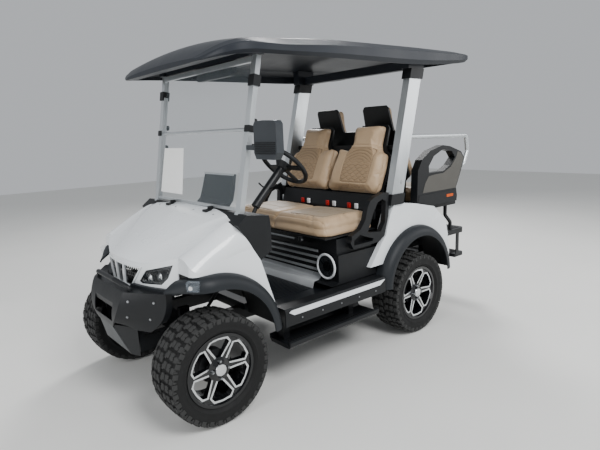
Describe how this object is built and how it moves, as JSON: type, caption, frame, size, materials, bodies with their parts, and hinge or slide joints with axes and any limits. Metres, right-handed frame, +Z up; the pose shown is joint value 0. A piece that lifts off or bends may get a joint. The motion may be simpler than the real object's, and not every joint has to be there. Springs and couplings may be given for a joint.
{
  "type": "golf cart",
  "caption": "Electric golf cart with forward and rear-facing bench seats, canopy roof on posts, folding windscreen, flared arches and a rear footplate",
  "frame": {"origin": "on the floor, on the centre plane, at mid length", "axes": "+X is the cart's left, the front faces -Y, +Z is up"},
  "size_m": [1.4312, 3.0306, 2.0534],
  "materials": {
    "body_white": "glossy moulded panels",
    "trim_black": "grained moulded trim",
    "gloss_black": "glossy",
    "frame_black": "satin powder coat",
    "aluminium": "brushed, anodised",
    "rim_black": "gloss black alloy",
    "tyre": "matt",
    "glass": "clear",
    "vinyl": "stitched seat vinyl",
    "lamp": "clear lens",
    "steel": "machined",
    "iron": "cast",
    "floor": "ribbed mat",
    "battery": "moulded case"
  },
  "bodies": {
    "chassis": {"back_shells": "trim_black", "battery_block": "battery", "bumper_guard": "frame_black", "dash": "trim_black", "floor_pan": "floor", "footplate": "frame_black", "frame_brackets": "frame_black", "frame_members": "frame_black", "frame_rails": "frame_black", "front_armrests": "trim_black", "front_backrests": "vinyl", "front_cowl": "body_white", "front_flares": "trim_black", "front_subframe": "frame_black", "front_suspension": "frame_black", "grab_rails": "aluminium", "grille_frame": "body_white", "grille_mesh": "gloss_black", "headlamps": "gloss_black", "hitch_plate": "frame_black", "lamp_lenses": "lamp", "marker_lamps": "lamp", "mirrors": "gloss_black", "nose_ledge": "trim_black", "post_boots": "trim_black", "rear_armrests": "trim_black", "rear_axle": "iron", "rear_backrests": "vinyl", "rear_flares": "trim_black", "rear_pillars": "aluminium", "rear_quarters": "body_white", "rear_springs": "steel", "roof": "trim_black", "seat_back_frame": "frame_black", "seat_base": "trim_black", "seat_base_slats": "aluminium", "side_steps": "frame_black", "sill_strips": "body_white", "sills": "trim_black", "speakers": "gloss_black", "steering_column": "frame_black", "toe_board": "trim_black", "wheel_liners": "trim_black", "windscreen_frame": "aluminium", "windscreen_panes": "glass"},
    "wheel_front_left": {"tyre_front_left": "tyre", "rim_front_left": "rim_black"},
    "wheel_front_right": {"tyre_front_right": "tyre", "rim_front_right": "rim_black"},
    "wheel_rear_left": {"tyre_rear_left": "tyre", "rim_rear_left": "rim_black"},
    "wheel_rear_right": {"tyre_rear_right": "tyre", "rim_rear_right": "rim_black"},
    "knuckle_body_left": {"knuckle_left": "iron"},
    "knuckle_body_right": {"knuckle_right": "iron"},
    "tie_rod_body": {"tie_rod": "steel"},
    "steering_body": {"steering_wheel": "trim_black"},
    "front_cushion_body": {"front_cushion": "vinyl"},
    "rear_cushion_body": {"rear_cushion": "vinyl"}
  },
  "joints": [
    {"name": "steer_left", "type": "hinge", "parent": "chassis", "child": "knuckle_body_left", "pos_m": [0.448, -1.17, 0.292], "axis": [0, 0, 1], "range_deg": [-28, 28]},
    {"name": "steer_right", "type": "hinge", "parent": "chassis", "child": "knuckle_body_right", "pos_m": [-0.448, -1.17, 0.292], "axis": [0, 0, 1], "range_deg": [-28, 28]},
    {"name": "steering_wheel_turn", "type": "hinge", "parent": "chassis", "child": "steering_body", "pos_m": [0.27, -0.425, 1.273], "axis": [0, 0.7071, 0.7071], "range_deg": [-260, 260]},
    {"name": "tie_rod_slide", "type": "slide", "parent": "chassis", "child": "tie_rod_body", "axis": [1, 0, 0], "range_m": [-0.05, 0.05]},
    {"name": "front_seat_lift", "type": "hinge", "parent": "chassis", "child": "front_cushion_body", "pos_m": [0, -0.33, 0.785], "axis": [1, 0, 0], "range_deg": [0, 50]},
    {"name": "rear_seat_flip", "type": "hinge", "parent": "chassis", "child": "rear_cushion_body", "pos_m": [0, 1.195, 0.884], "axis": [-1, 0, 0], "range_deg": [0, 170]},
    {"name": "front_left_spin", "type": "hinge", "parent": "knuckle_body_left", "child": "wheel_front_left", "pos_m": [0.53, -1.17, 0.292], "axis": [1, 0, 0], "continuous": true},
    {"name": "front_right_spin", "type": "hinge", "parent": "knuckle_body_right", "child": "wheel_front_right", "pos_m": [-0.53, -1.17, 0.292], "axis": [1, 0, 0], "continuous": true},
    {"name": "rear_left_spin", "type": "hinge", "parent": "chassis", "child": "wheel_rear_left", "pos_m": [0.53, 0.51, 0.292], "axis": [1, 0, 0], "continuous": true},
    {"name": "rear_right_spin", "type": "hinge", "parent": "chassis", "child": "wheel_rear_right", "pos_m": [-0.53, 0.51, 0.292], "axis": [1, 0, 0], "continuous": true}
  ],
  "couplings": [
    {"joint": "steer_right", "follows": "steer_left", "ratio": 1},
    {"joint": "steering_wheel_turn", "follows": "steer_left", "ratio": 9},
    {"joint": "tie_rod_slide", "follows": "steer_left", "m_per_rad": -0.1}
  ]
}
